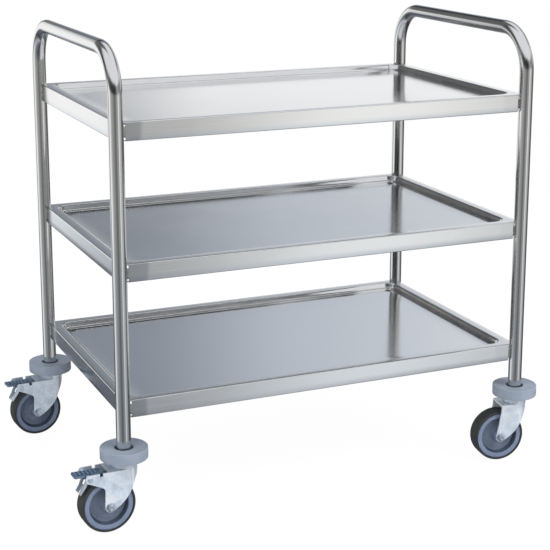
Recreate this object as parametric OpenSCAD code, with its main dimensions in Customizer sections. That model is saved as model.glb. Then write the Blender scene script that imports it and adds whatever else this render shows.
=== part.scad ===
/* [Frame] */
// Distance between the post axes along the trolley
post_span_x = 800; // [500:10:1200]
// Distance between the post axes across the trolley
post_span_y = 500; // [350:10:700]
// Outer diameter of the bent tube
tube_d = 26; // [20:0.5:32]
// Wall of the bent tube
tube_wall = 1.5; // [1:0.1:2.5]
// Radius of the handle bends, to the tube's centre line
bend_r = 78; // [50:1:110]
// Height of the handle's centre line above the floor
handle_z = 841; // [800:1:1000]

/* [Shelves] */
// Height of the bottom shelf's rim above the floor
bottom_rim_z = 232; // [200:1:300]
// Distance from one shelf's rim to the next
shelf_pitch = 245; // [180:1:270]
// Sheet thickness of the pressed shelves
sheet_t = 1.2; // [0.8:0.1:2]
// Height of the downturned apron
apron_h = 32.5; // [25:0.5:45]
// Width of the hem that is folded inwards under the apron
hem_w = 8; // [4:0.5:15]
// Width of the flat rim around the tray
rim_w = 17; // [12:0.5:25]
// Corner radius of the tray's opening
tray_corner_r = 24; // [20:0.5:40]
// Depth of the tray down to its ledge
tray_wall_h = 9.5; // [8:0.5:15]
// Depth of the small step from the ledge to the deck
deck_step = 1.8; // [1.2:0.1:3]
// Width of the ledge above the deck
ledge_w = 2.5; // [1.5:0.1:6]

/* [Castors] */
// Diameter of the wheel over its tyre
wheel_d = 100; // [80:1:125]
// Width of the tyre
tyre_w = 32; // [26:1:34]
// Thickness of the tyre, from the wheel centre out to the tread
tyre_t = 4.5; // [4.5:0.5:9]
// Distance from the swivel axis back to the wheel's axle
trail = 35; // [30:1:40]
// Gap between the top of the tyre and the fork's crown
crown_gap = 12; // [8:0.5:18]
// Sheet thickness of the fork
fork_t = 2.5; // [2:0.1:3.5]
// Gap between the fork's cheeks
fork_gap = 40; // [34:0.5:48]
// Diameter of the axle bolt
axle_d = 8; // [6:0.5:10]
// Diameter of the kingpin that the fork swivels on
kingpin_d = 12; // [10:0.5:14]
// Diameter of one bearing ball
ball_d = 5; // [4:0.5:6]
// Number of balls in a swivel head
ball_count = 16; // [10:1:18]

/* [Bumpers] */
// Diameter of the bumper disc
bumper_d = 85; // [70:1:110]
// Height of the bumper disc
bumper_h = 20; // [14:1:30]
// Diameter of the hole round the tube in the bumper disc
bumper_hole_d = 33; // [30:0.5:45]

/* [Brakes] */
// Distance from the wheel's axle back to the brake's hinge pin
brake_pin_back = 35.5; // [32:0.5:40]
// Length of the pedal
pedal_l = 51; // [44:1:66]
// Width of the pedal
pedal_w = 21; // [16:1:30]
// Width of the brake shoe over its ears
shoe_w = 23; // [20:1:26]

/* [Hidden] */
$fn = 48;

// Clearances
seat = 0.05;              // between pieces that are fixed together
run = 0.05;               // radial, between a shaft and what turns on it
side_play = 0.5;          // beside a piece that turns between two walls
face_gap = 0.3;           // between flat faces that turn past each other

// Colours
steel = [0.75, 0.76, 0.77];
zinc = [0.78, 0.82, 0.88];
bumper_grey = [0.58, 0.60, 0.62];
wheel_blue = [0.42, 0.46, 0.55];
rubber_grey = [0.16, 0.17, 0.18];
pedal_blue = [0.22, 0.27, 0.34];

// How far each castor is turned at rest: [front left, back left, front right, back right]
castor_turn = [3, 4, -8, 210];
castor_x = [-1, -1, 1, 1] * post_span_x / 2;
castor_y = [-1, 1, -1, 1] * post_span_y / 2;

// Tube and tray
tube_r = tube_d / 2;
bore_r = tube_r - tube_wall;
weld_gap = 3.5;           // from the tube to the end of an apron
weld_r = 2.3;
weld_share = 0.62;        // of an apron's height that a weld bead covers
weld_h = apron_h * weld_share;
tray_depth = tray_wall_h + deck_step;
rim_top_r = 4;            // where the rim rolls down into the tray
rim_foot_r = 5;           // where the tray's wall meets its ledge
rim_slope = 70;
step_r = 1.5;
step_slope = 50;

// Fork and wheel
wheel_r = wheel_d / 2;
rim_r = wheel_r - tyre_t;
shoulder_r = 4;           // of the tyre's edges
crown_t = 3;
crown_z = wheel_d + crown_gap + crown_t;
cheek_out = fork_gap / 2 + fork_t;
crown_back_u = trail + 1; // where the crown ends, behind the swivel axis
axle_boss_r = 9.5;
axle_r = axle_d / 2;
sleeve_r = axle_r + 2;
hub_r = 12;
hub_half = fork_gap / 2 - side_play;
web_half = 4.5;
ring_half = tyre_w / 2 - 1.5;
ring_in_r = rim_r - 12;
dish_r = ring_in_r - 4;
head_r = 7.5;             // across the corners of the bolt's head and nut
head_t = 5.3;
flange_r = head_r + 0.8;
flange_t = 1;
// The front edge of a leg, as shares of the trail and of the height from the axle to the crown
leg_front = [[-0.43, 0.72], [-0.24, 0.52], [-0.09, 0.35], [0.14, 0.17], [0.46, 0.01]];

// Swivel head, from the crown up
race_gap = 3;             // between the fork's crown and the upper race
race_t = 5;
race_r = 23;
race_skirt = 2;
race_z = crown_z + race_gap;
ball_z = crown_z + race_gap / 2;
ball_ring_r = 15.5;
kingpin_r = kingpin_d / 2;
rivet_r = 10;
rivet_t = 5;
collar_r = 17;
collar_t = 6;
collar_z = race_z + race_t;
bumper_z = collar_z + collar_t;
bumper_floor = 4;
tube_end_z = bumper_z + bumper_floor;
bumper_edge_r = 2.5;
spindle_r = 5;
expander_l = 44;
spindle_head_r = 9;
spindle_head_t = 4;

// The arm that carries the brake
arm_end_r = 8;
arm_rise = 0.5;           // of the arm's round end over the crown, cut off level
arm_notch_u = crown_back_u + 11;
arm_notch_w = 6;
arm_notch_h = 5.5;
arm_knee_drop = 35;       // from the crown to the start of the arm's inner bend
arm_knee_r = 10;
arm_knee_turn = 72;
brake_pin_u = trail + brake_pin_back;
brake_pin_z = crown_z - arm_end_r + arm_rise;
brake_pin_r = 3;
pin_head_r = brake_pin_r + 1.2;
pin_head_t = 1.5;

// Brake
pedal_root_u = crown_back_u + 8;
pedal_reach = pedal_root_u + pedal_l;
pedal_top_z = crown_z - 1.5;
pedal_t = 4;
pedal_rib_h = 1.1;
pedal_rib_w = 2.6;
pedal_rib_pitch = 7;
pedal_edge = 2;           // from a rib's end to the pedal's side
pedal_boss_r = 6;
pedal_tip_extra = 3;      // that the tip is wider than the tread
pedal_web_back = 12;      // from the tip to the web under the tread
shoe_t = 2.2;
shoe_l = 17;
shoe_clear = 6;           // from the tyre to the released shoe
shoe_mid_angle = 37;      // of the shoe's middle, above the horizontal at the axle
shoe_slot_w = 6;
shoe_ear_half = shoe_w / 2;
shoe_ear_t = 2;
shoe_ear_r = 5;
pedal_boss_half = shoe_ear_half - shoe_ear_t - seat;
// The hinge pin as the shoe sees it: out from the axle along the shoe's middle, and along the tread
pin_out = brake_pin_back * cos(shoe_mid_angle) + (brake_pin_z - wheel_r) * sin(shoe_mid_angle);
pin_along = (brake_pin_z - wheel_r) * cos(shoe_mid_angle) - brake_pin_back * sin(shoe_mid_angle);

// The origin is on the floor, at the middle of everything that the trolley covers
function reach(i, e) = let (
        a = castor_turn[i],
        t = [-cos(a), -sin(a)],
        s = [sin(a), -cos(a)],
        wheel = trail * (t * e) + (wheel_r - shoulder_r) * abs(t * e)
            + (tyre_w / 2 - shoulder_r) * abs(s * e) + shoulder_r,
        pedal = i < 2 ? pedal_reach * (t * e) + pedal_w / 2 * abs(s * e)
            + pedal_tip_extra / 2 * abs(s * e) : 0
    ) max(bumper_d / 2, wheel, pedal) + [castor_x[i], castor_y[i]] * e;
function far(e) = max([for (i = [0:3]) reach(i, e)]);
shift_x = (far([-1, 0]) - far([1, 0])) / 2;
shift_y = (far([0, -1]) - far([0, 1])) / 2;

module place() {
    translate([shift_x, shift_y, 0]) children();
}

// A castor's own axes: +Z up its swivel axis, -X back along its trail, -Y out of its near cheek
module at_castor(i) {
    place() translate([castor_x[i], castor_y[i], 0]) rotate([0, 0, castor_turn[i]]) children();
}

// Turns a drawing of u (back from the swivel axis) and z into a slab across the castor
module across(half) {
    rotate([90, 0, 0]) mirror([1, 0, 0]) linear_extrude(height = 2 * half, center = true) children();
}

module round_bar(u, z, r, half) {
    translate([-u, 0, z]) rotate([90, 0, 0]) cylinder(r = r, h = 2 * half, center = true);
}

// ---- Frame ----

module tube_run(r) {
    leg = handle_z - bend_r;
    for (s = [-1, 1]) {
        translate([0, s * post_span_y / 2, tube_end_z]) cylinder(r = r, h = leg - tube_end_z);
        translate([0, s * (post_span_y / 2 - bend_r), leg])
            rotate([0, 0, s * 90]) rotate([90, 0, 0])
                rotate_extrude(angle = 90) translate([bend_r, 0]) circle(r = r);
    }
    translate([0, 0, handle_z]) rotate([90, 0, 0])
        cylinder(r = r, h = post_span_y - 2 * bend_r, center = true);
}

module hoop(side) {
    color(steel) place() translate([side * post_span_x / 2, 0, 0]) difference() {
        tube_run(tube_r);
        tube_run(bore_r);
        // The bore runs out of both ends
        for (s = [-1, 1])
            translate([0, s * post_span_y / 2, tube_end_z - 1]) cylinder(r = bore_r, h = 2);
    }
}

// ---- Shelves ----

function fall(depth, r1, r2, slope) = let (
        straight = (depth - (r1 + r2) * (1 - cos(slope))) / sin(slope)
    ) (r1 + r2) * sin(slope) + straight * cos(slope);

// One rolled step down: the sheet's face at an offset below its upper side
function step_points(d, z, depth, r1, r2, slope, off, n) = let (
        foot = d + fall(depth, r1, r2, slope)
    ) concat(
        [for (k = [0:n]) let (b = slope * k / n)
            [d + (r1 - off) * sin(b), z - r1 + (r1 - off) * cos(b)]],
        [for (k = [n:-1:0]) let (b = slope * k / n)
            [foot - (r2 + off) * sin(b), z - depth + r2 - (r2 + off) * cos(b)]]
    );

ledge_d = fall(tray_wall_h, rim_top_r, rim_foot_r, rim_slope);
deck_d = ledge_d + ledge_w + fall(deck_step, step_r, step_r, step_slope);

function tray_side(off) = concat(
        [[-1, -off]],
        step_points(0, 0, tray_wall_h, rim_top_r, rim_foot_r, rim_slope, off, 6),
        step_points(ledge_d + ledge_w, -tray_wall_h, deck_step, step_r, step_r, step_slope, off, 3),
        [[deck_d + 1, -tray_depth - off]]
    );

// The tray wall's section, with x measured out from the centre of the corner's arc
module tray_section() {
    upper = tray_side(0);
    lower = tray_side(sheet_t);
    count = len(lower);
    outline = concat(upper, [for (k = [count - 1:-1:0]) lower[k]]);
    polygon([for (p = outline) [tray_corner_r - p[0], p[1]]]);
}

module round_plate(l, w, r, t) {
    linear_extrude(height = t) {
        square([l - 2 * r, w], center = true);
        square([l, w - 2 * r], center = true);
        for (x = [-1, 1], y = [-1, 1])
            translate([x * (l / 2 - r), y * (w / 2 - r)]) circle(r = r);
    }
}

module tray_wall(l, w) {
    lx = l - 2 * tray_corner_r;
    wy = w - 2 * tray_corner_r;
    for (q = [[1, 1, 0], [-1, 1, 90], [-1, -1, 180], [1, -1, 270]])
        translate([q[0] * lx / 2, q[1] * wy / 2, 0]) rotate([0, 0, q[2]])
            rotate_extrude(angle = 90) tray_section();
    for (a = [0, 180]) rotate([0, 0, a]) {
        translate([lx / 2, 0, 0]) rotate([90, 0, 0])
            linear_extrude(height = wy, center = true) tray_section();
        translate([0, wy / 2, 0]) rotate([90, 0, 90])
            linear_extrude(height = lx, center = true) tray_section();
    }
}

module shelf(rim_z) {
    tray_l = post_span_x - 2 * rim_w;
    tray_w = post_span_y - 2 * rim_w;
    inner = [post_span_x - 2 * sheet_t, post_span_y - 2 * sheet_t];
    hem = [post_span_x - 2 * hem_w, post_span_y - 2 * hem_w];
    color(steel) place() translate([0, 0, rim_z]) difference() {
        union() {
            // Rim
            translate([0, 0, -sheet_t]) difference() {
                translate([-post_span_x / 2, -post_span_y / 2, 0])
                    cube([post_span_x, post_span_y, sheet_t]);
                translate([0, 0, -1])
                    round_plate(tray_l, tray_w, tray_corner_r, sheet_t + 2);
            }
            // Apron and the hem folded in under it
            difference() {
                translate([-post_span_x / 2, -post_span_y / 2, -apron_h])
                    cube([post_span_x, post_span_y, apron_h - sheet_t / 2]);
                translate([-inner[0] / 2, -inner[1] / 2, sheet_t - apron_h])
                    cube([inner[0], inner[1], apron_h]);
                translate([-hem[0] / 2, -hem[1] / 2, -apron_h - 1])
                    cube([hem[0], hem[1], apron_h]);
            }
            tray_wall(tray_l, tray_w);
            translate([0, 0, -tray_depth - sheet_t])
                round_plate(tray_l - 2 * deck_d, tray_w - 2 * deck_d, tray_corner_r - deck_d, sheet_t);
        }
        // Room for the posts, and the wider gap at the aprons' ends that the welds fill
        for (i = [0:3]) translate([castor_x[i], castor_y[i], 0]) {
            translate([0, 0, -apron_h - 1]) cylinder(r = tube_r + seat, h = apron_h + 2);
            translate([0, 0, -apron_h - 1]) cylinder(r = tube_r + weld_gap, h = apron_h + 1 - 2 * sheet_t);
        }
    }
}

module welds(rim_z) {
    mid = tube_r + weld_gap / 2;
    color(steel) place() for (i = [0:3]) {
        inward = [-sign(castor_x[i]), -sign(castor_y[i])];
        translate([castor_x[i], castor_y[i], rim_z - apron_h / 2 - weld_h / 2]) intersection() {
            difference() {
                cylinder(r = tube_r + weld_gap - seat, h = weld_h);
                translate([0, 0, -1]) cylinder(r = tube_r + seat, h = weld_h + 2);
            }
            union() {
                translate([inward[0] * mid, inward[1] * sheet_t / 2, 0]) cylinder(r = weld_r, h = weld_h);
                translate([inward[0] * sheet_t / 2, inward[1] * mid, 0]) cylinder(r = weld_r, h = weld_h);
            }
        }
    }
}

// ---- Bumper and castor stem ----

module bumper(i) {
    color(bumper_grey) at_castor(i) translate([0, 0, bumper_z]) rotate_extrude($fn = 96) difference() {
        union() {
            square([bumper_d / 2 - bumper_edge_r, bumper_h]);
            translate([0, bumper_edge_r]) square([bumper_d / 2, bumper_h - 2 * bumper_edge_r]);
            for (z = [bumper_edge_r, bumper_h - bumper_edge_r])
                translate([bumper_d / 2 - bumper_edge_r, z]) circle(r = bumper_edge_r);
        }
        translate([-1, -1]) square([bore_r + 1, bumper_h + 2]);
        translate([-1, bumper_floor]) square([bumper_hole_d / 2 + 1, bumper_h]);
    }
}

module stem(i) {
    top = bumper_z + expander_l + seat + spindle_head_t;
    rivet_z = crown_z - crown_t - face_gap - rivet_t;
    color(zinc) at_castor(i) {
        translate([0, 0, collar_z]) cylinder(r = collar_r, h = collar_t);
        translate([0, 0, bumper_z]) cylinder(r = spindle_r, h = top - bumper_z);
        translate([0, 0, top - spindle_head_t]) cylinder(r = spindle_head_r, h = spindle_head_t);
        translate([0, 0, rivet_z]) cylinder(r = kingpin_r, h = collar_z - rivet_z);
        translate([0, 0, rivet_z]) cylinder(r = rivet_r, h = rivet_t);
    }
}

module expander(i) {
    color(rubber_grey) at_castor(i) translate([0, 0, bumper_z]) difference() {
        cylinder(r = bore_r - seat, h = expander_l);
        translate([0, 0, -1]) cylinder(r = spindle_r + seat, h = expander_l + 2);
    }
}

module race(i) {
    color(zinc) at_castor(i) rotate_extrude() difference() {
        union() {
            translate([0, race_z]) square([race_r, race_t]);
            translate([race_r - race_skirt, crown_z + face_gap]) square([race_skirt, race_gap]);
        }
        translate([-1, race_z - 1]) square([kingpin_r + seat + 1, race_t + 2]);
        translate([ball_ring_r, ball_z]) circle(r = ball_d / 2 + run);
    }
}

module balls(i) {
    color(zinc) at_castor(i) for (k = [0:ball_count - 1])
        rotate([0, 0, k * 360 / ball_count]) translate([ball_ring_r, 0, ball_z]) sphere(d = ball_d);
}

// ---- Fork ----

// The leg that every fork has, from its crown down round the axle
module leg_outline() {
    rise = crown_z - wheel_r;
    polygon(concat(
        [[-cheek_out - 1, crown_z], [-cheek_out - 1, crown_z - crown_t]],
        [for (p = leg_front) [p[0] * trail, wheel_r + p[1] * rise]],
        [[trail - 0.57 * axle_boss_r, wheel_r - 0.82 * axle_boss_r], [trail, wheel_r]],
        [[trail + axle_boss_r, wheel_r + 1], [trail, crown_z - 14], [trail - 1, crown_z]]
    ));
    translate([trail, wheel_r]) circle(r = axle_boss_r);
}

// The arm that reaches back to the brake's hinge pin
module arm_outline() {
    knee = [trail + axle_boss_r - 1, crown_z - arm_knee_drop];
    polygon(concat(
        [[0, crown_z], [0, wheel_r + trail / 2], [trail, wheel_r], [trail + axle_boss_r, wheel_r + 1]],
        [for (k = [0:5]) let (b = arm_knee_turn * k / 5)
            [knee[0] + arm_knee_r * (1 - cos(b)), knee[1] + arm_knee_r * sin(b)]],
        [[brake_pin_u + 1.5, brake_pin_z + 0.2 - arm_end_r], [brake_pin_u, brake_pin_z]],
        [[brake_pin_u, crown_z + arm_rise / 2]]
    ));
    translate([brake_pin_u, brake_pin_z]) circle(r = arm_end_r);
}

// The fork's plan: straight cheeks, and a round front about the swivel axis
module plan_outline(r, back) {
    circle(r = r);
    translate([-back, -r]) square([back, 2 * r]);
}

module fork(i) {
    braked = i < 2;
    back = braked ? brake_pin_u + arm_end_r + 1 : trail + axle_boss_r + 1;
    color(zinc) at_castor(i) difference() {
        intersection() {
            across(cheek_out + 1) {
                leg_outline();
                if (braked) arm_outline();
            }
            difference() {
                linear_extrude(height = crown_z) plan_outline(cheek_out, back);
                translate([0, 0, -1])
                    linear_extrude(height = crown_z - crown_t + 1) plan_outline(fork_gap / 2, back + 1);
                translate([-back - 1, -fork_gap / 2, -1])
                    cube([back + 1 - crown_back_u, fork_gap, crown_z + 2]);
            }
        }
        translate([0, 0, crown_z - crown_t - 1]) cylinder(r = kingpin_r + run, h = crown_t + 2);
        rotate_extrude() translate([ball_ring_r, ball_z]) circle(r = ball_d / 2 + run);
        round_bar(trail, wheel_r, axle_r + seat, cheek_out + 1);
        if (braked) {
            round_bar(brake_pin_u, brake_pin_z, brake_pin_r + seat, cheek_out + 1);
            // The notch in the arm's upper edge
            translate([-arm_notch_u, -cheek_out - 1, crown_z - arm_notch_h])
                mirror([1, 0, 0]) cube([arm_notch_w, 2 * cheek_out + 2, 2 * arm_notch_h]);
        }
    }
}

// ---- Wheel, axle and sleeve ----

module axle(i) {
    color(zinc) at_castor(i) {
        round_bar(trail, wheel_r, axle_r, cheek_out + head_t + 1);
        translate([-trail, -cheek_out, wheel_r]) rotate([90, 0, 0]) {
            cylinder(r = head_r, h = head_t, $fn = 6);
            cylinder(r = flange_r, h = flange_t);
        }
    }
}

module nut(i) {
    color(zinc) at_castor(i) translate([-trail, cheek_out, wheel_r]) rotate([-90, 0, 0]) difference() {
        union() {
            cylinder(r = head_r, h = head_t, $fn = 6);
            cylinder(r = flange_r, h = flange_t);
        }
        translate([0, 0, -1]) cylinder(r = axle_r + seat, h = head_t + 2);
    }
}

module sleeve(i) {
    color(zinc) at_castor(i) difference() {
        round_bar(trail, wheel_r, sleeve_r, fork_gap / 2);
        round_bar(trail, wheel_r, axle_r + seat, fork_gap / 2 + 1);
    }
}

module turned_about_axle() {
    translate([-trail, 0, wheel_r]) rotate([90, 0, 0]) rotate_extrude($fn = 96) children();
}

module wheel(i) {
    half = [
        [sleeve_r + run, 0], [sleeve_r + run, hub_half], [hub_r - 1, hub_half], [hub_r, hub_half - 1],
        [hub_r + 1, web_half + 1], [hub_r + 3, web_half], [dish_r, web_half], [dish_r + 1.5, web_half + 1.5],
        [ring_in_r - 1.5, ring_half - 4], [ring_in_r, ring_half - 3.5], [ring_in_r + 1, ring_half - 0.8],
        [ring_in_r + 2, ring_half], [rim_r - 1, ring_half], [rim_r, ring_half - 1], [rim_r, 0]
    ];
    count = len(half);
    color(wheel_blue) at_castor(i) turned_about_axle()
        polygon(concat(half, [for (k = [count - 2:-1:1]) [half[k][0], -half[k][1]]]));
}

module tyre(i) {
    side = tyre_w / 2 - shoulder_r;
    color(rubber_grey) at_castor(i) turned_about_axle() difference() {
        union() {
            translate([rim_r - 1, -tyre_w / 2]) square([wheel_r - rim_r + 1 - shoulder_r, tyre_w]);
            translate([rim_r - 1, -side]) square([wheel_r - rim_r + 1, 2 * side]);
            for (s = [-1, 1]) translate([wheel_r - shoulder_r, s * side]) circle(r = shoulder_r);
        }
        translate([0, -tyre_w]) square([rim_r + seat, 2 * tyre_w]);
    }
}

// ---- Brake ----

module brake_pin(i) {
    color(zinc) at_castor(i) {
        round_bar(brake_pin_u, brake_pin_z, brake_pin_r, cheek_out + 1);
        for (s = [-1, 1])
            translate([-brake_pin_u, s * (cheek_out + pin_head_t / 2), brake_pin_z])
                rotate([90, 0, 0]) cylinder(r = pin_head_r, h = pin_head_t, center = true);
    }
}

// The tread plate from above, a little wider at its tip
module pedal_plan() {
    half = pedal_w / 2;
    tip_half = half + pedal_tip_extra / 2;
    polygon([
        [-pedal_root_u, pedal_edge - half], [-pedal_root_u, half - pedal_edge], [-brake_pin_u, half],
        [pedal_edge - pedal_reach, tip_half], [-pedal_reach, half], [-pedal_reach, -half],
        [pedal_edge - pedal_reach, -tip_half], [-brake_pin_u, -half]
    ]);
}

module pedal(i) {
    under = pedal_top_z - pedal_t;
    rib_count = floor((pedal_l - 2 * pedal_edge) / pedal_rib_pitch);
    color(pedal_blue) at_castor(i) difference() {
        union() {
            translate([0, 0, under]) linear_extrude(height = pedal_t) pedal_plan();
            for (k = [0:rib_count - 1])
                translate([k * pedal_rib_pitch - pedal_reach + 3, pedal_edge - pedal_w / 2, pedal_top_z - 1])
                    cube([pedal_rib_w, pedal_w - 2 * pedal_edge, pedal_rib_h + 1]);
            round_bar(brake_pin_u, brake_pin_z, pedal_boss_r, pedal_boss_half);
            // Web from the boss out to the tread
            across(pedal_boss_half - 2) polygon([
                [brake_pin_u - 14, under + 1], [brake_pin_u - 4, brake_pin_z - 4],
                [brake_pin_u + 3, brake_pin_z - 5], [pedal_reach - pedal_web_back, under + 1]
            ]);
        }
        round_bar(brake_pin_u, brake_pin_z, brake_pin_r + run, cheek_out);
        // Side notches, where the shoe's ears come up round the pin
        for (s = [0, 180])
            translate([-brake_pin_u, 0, under - 1]) rotate([0, 0, s])
                translate([-shoe_ear_r - seat, pedal_boss_half, 0])
                    cube([2 * (shoe_ear_r + seat), pedal_w, pedal_t + 2]);
    }
}

// The shoe as the axle sees it: x out from the axle, y along the tread
module ear_outline() {
    r_in = wheel_r + shoe_clear;
    translate([pin_out, pin_along]) circle(r = shoe_ear_r);
    polygon([
        [r_in, -shoe_l / 2], [r_in + shoe_t + 1, -shoe_l / 2], [r_in + shoe_t + 2.5, shoe_l / 4],
        [pin_out + 0.8 * shoe_ear_r, pin_along], [pin_out - 0.8 * shoe_ear_r, pin_along],
        [r_in, shoe_l / 2]
    ]);
}

// The shoe's plate lies along the tread, and two ears carry it on the pedal's pin
module shoe(i) {
    r_in = wheel_r + shoe_clear;
    slot_l = shoe_l * 0.55;
    color(zinc) at_castor(i) difference() {
        union() {
            translate([-trail, 0, wheel_r]) rotate([0, shoe_mid_angle, 0])
                translate([-r_in - shoe_t, -shoe_ear_half, -shoe_l / 2])
                    cube([shoe_t, shoe_w, shoe_l]);
            for (s = [-1, 1])
                translate([0, s * (shoe_ear_half - shoe_ear_t / 2), 0]) across(shoe_ear_t / 2)
                    translate([trail, wheel_r]) rotate(shoe_mid_angle) ear_outline();
        }
        round_bar(brake_pin_u, brake_pin_z, brake_pin_r + run, cheek_out);
        // The slot that leaves the plate's end as two prongs
        translate([-trail, 0, wheel_r]) rotate([0, shoe_mid_angle, 0])
            translate([-r_in - shoe_t - 1, -shoe_slot_w / 2, -shoe_l / 2 - 1])
                cube([shoe_t + 2, shoe_slot_w, slot_l]);
    }
}

hoop(-1);  // hoop_left
hoop(1);  // hoop_right
shelf(bottom_rim_z + 2 * shelf_pitch);  // shelf_top
shelf(bottom_rim_z + shelf_pitch);  // shelf_middle
shelf(bottom_rim_z);  // shelf_bottom
welds(bottom_rim_z + 2 * shelf_pitch);  // welds_top
welds(bottom_rim_z + shelf_pitch);  // welds_middle
welds(bottom_rim_z);  // welds_bottom
bumper(0);  // bumper_front_left
bumper(1);  // bumper_back_left
bumper(2);  // bumper_front_right
bumper(3);  // bumper_back_right
stem(0);  // stem_front_left
stem(1);  // stem_back_left
stem(2);  // stem_front_right
stem(3);  // stem_back_right
expander(0);  // expander_front_left
expander(1);  // expander_back_left
expander(2);  // expander_front_right
expander(3);  // expander_back_right
race(0);  // race_front_left
race(1);  // race_back_left
race(2);  // race_front_right
race(3);  // race_back_right
balls(0);  // balls_front_left
balls(1);  // balls_back_left
balls(2);  // balls_front_right
balls(3);  // balls_back_right
fork(0);  // fork_front_left
fork(1);  // fork_back_left
fork(2);  // fork_front_right
fork(3);  // fork_back_right
axle(0);  // axle_front_left
axle(1);  // axle_back_left
axle(2);  // axle_front_right
axle(3);  // axle_back_right
nut(0);  // nut_front_left
nut(1);  // nut_back_left
nut(2);  // nut_front_right
nut(3);  // nut_back_right
sleeve(0);  // sleeve_front_left
sleeve(1);  // sleeve_back_left
sleeve(2);  // sleeve_front_right
sleeve(3);  // sleeve_back_right
wheel(0);  // wheel_front_left
wheel(1);  // wheel_back_left
wheel(2);  // wheel_front_right
wheel(3);  // wheel_back_right
tyre(0);  // tyre_front_left
tyre(1);  // tyre_back_left
tyre(2);  // tyre_front_right
tyre(3);  // tyre_back_right
brake_pin(0);  // brake_pin_front_left
brake_pin(1);  // brake_pin_back_left
pedal(0);  // pedal_front_left
pedal(1);  // pedal_back_left
shoe(0);  // shoe_front_left
shoe(1);  // shoe_back_left
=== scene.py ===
import math

import bmesh
import bpy
import numpy as np
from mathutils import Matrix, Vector


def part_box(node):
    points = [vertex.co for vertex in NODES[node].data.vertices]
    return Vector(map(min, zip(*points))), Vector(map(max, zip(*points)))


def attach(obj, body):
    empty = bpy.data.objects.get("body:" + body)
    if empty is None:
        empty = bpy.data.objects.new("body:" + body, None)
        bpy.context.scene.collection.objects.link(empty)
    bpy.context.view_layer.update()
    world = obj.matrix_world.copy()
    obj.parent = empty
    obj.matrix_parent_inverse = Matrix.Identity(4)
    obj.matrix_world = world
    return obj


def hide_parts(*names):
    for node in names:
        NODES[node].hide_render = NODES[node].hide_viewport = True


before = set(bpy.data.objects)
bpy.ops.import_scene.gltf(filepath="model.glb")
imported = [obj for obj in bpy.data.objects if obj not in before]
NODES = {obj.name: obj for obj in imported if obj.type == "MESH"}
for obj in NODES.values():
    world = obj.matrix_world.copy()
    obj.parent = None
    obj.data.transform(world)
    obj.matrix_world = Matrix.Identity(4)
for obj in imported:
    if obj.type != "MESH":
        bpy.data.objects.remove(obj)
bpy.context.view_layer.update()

MM = 0.001
CORNERS = ["front_left", "back_left", "front_right", "back_right"]
# The signs of x and y at the corners, in turn from the back right one
QUARTERS = ((1, 1), (-1, 1), (-1, -1), (1, -1))

# The trolley's sizes in millimetres, as its CAD source has them
shelf_low, shelf_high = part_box("shelf_top")
SHIFT = np.array([*(shelf_low + shelf_high).xy, 0.0]) / 2 / MM   # from the origin to the middle of the posts
SPAN_X, SPAN_Y = 800.0, 500.0
CASTOR_X = [-SPAN_X / 2, -SPAN_X / 2, SPAN_X / 2, SPAN_X / 2]
CASTOR_Y = [-SPAN_Y / 2, SPAN_Y / 2, -SPAN_Y / 2, SPAN_Y / 2]
CASTOR_TURN = [3.0, 4.0, -8.0, 210.0]
TUBE_R, TUBE_WALL, BEND_R = 13.0, 1.5, 78.0
HANDLE_Z, TUBE_END_Z = 841.0, 133.0
RIM_Z = {"bottom": 232.0, "middle": 477.0, "top": 722.0}
SHEET_T, APRON_H, HEM_W, RIM_W = 1.2, 32.5, 8.0, 17.0
TRAY_CORNER_R, TRAY_WALL_H, DECK_STEP, LEDGE_W = 24.0, 9.5, 1.8, 2.5
RIM_TOP_R, RIM_FOOT_R, RIM_SLOPE = 4.0, 5.0, 70.0
STEP_R, STEP_SLOPE = 1.5, 50.0
# The outside radii of the fold from rim to apron and of the hem's turn, and the gap between rim and tube
FOLD_R, HEM_R, POST_GAP = 1.8, 1.5, 0.05
WELD_GAP, WELD_H = 3.5, 20.15
BUMPER_D, BUMPER_H, BUMPER_Z, BUMPER_HOLE_D, BUMPER_FLOOR = 85.0, 20.0, 129.0, 33.0, 4.0
WHEEL_R, TYRE_HALF, RIM_R, TRAIL = 50.0, 16.0, 45.5, 35.0
SHOULDER_R = 4.0
CHEEK_OUT, HEAD_T = 22.5, 5.3
HEX_R, FLANGE_R, AXLE_R = 7.5, 8.3, 4.0
UV_RADIUS = 40.0                            # for the UV maps of bumpers, wheels and tyres

# The numbers of a shelf's four finishes
DECK, WALL, RIM, APRON = 0, 1, 2, 3


# ---- Meshes ----

def add_object(name, verts, faces, body, replaced, materials, part_of=None, uv=None):
    """A mesh object from points in millimetres, with its place in its mesh. part_of gives each face its
    material's number, and uv is one pair for each point."""
    mesh = bpy.data.meshes.new(name)
    mesh.from_pydata((verts * MM).tolist(), [], faces.tolist())
    if uv is not None:
        layer = mesh.uv_layers.new(name="run")
        corner = np.empty(len(mesh.loops), np.int32)
        mesh.loops.foreach_get("vertex_index", corner)
        layer.data.foreach_set("uv", (uv * MM)[corner].astype(np.float32).ravel())
    for material in materials:
        mesh.materials.append(material)
    if part_of is not None:
        mesh.polygons.foreach_set("material_index", np.asarray(part_of, np.int32))
    mesh.polygons.foreach_set("use_smooth", np.ones(len(mesh.polygons), bool))
    obj = bpy.data.objects.new(name, mesh)
    bpy.context.scene.collection.objects.link(obj)
    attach(obj, body)
    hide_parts(*replaced)
    return obj


def grid_faces(rows, cols, close_rows=False, close_cols=False):
    """Quads of a grid of rows by cols points, numbered along each row."""
    r = np.arange(rows if close_rows else rows - 1)[:, None]
    c = np.arange(cols if close_cols else cols - 1)[None, :]
    r2, c2 = (r + 1) % rows, (c + 1) % cols
    quads = np.stack([r * cols + c, r * cols + c2, r2 * cols + c2, r2 * cols + c], axis=-1)
    return quads.reshape(-1, 4)


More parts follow.
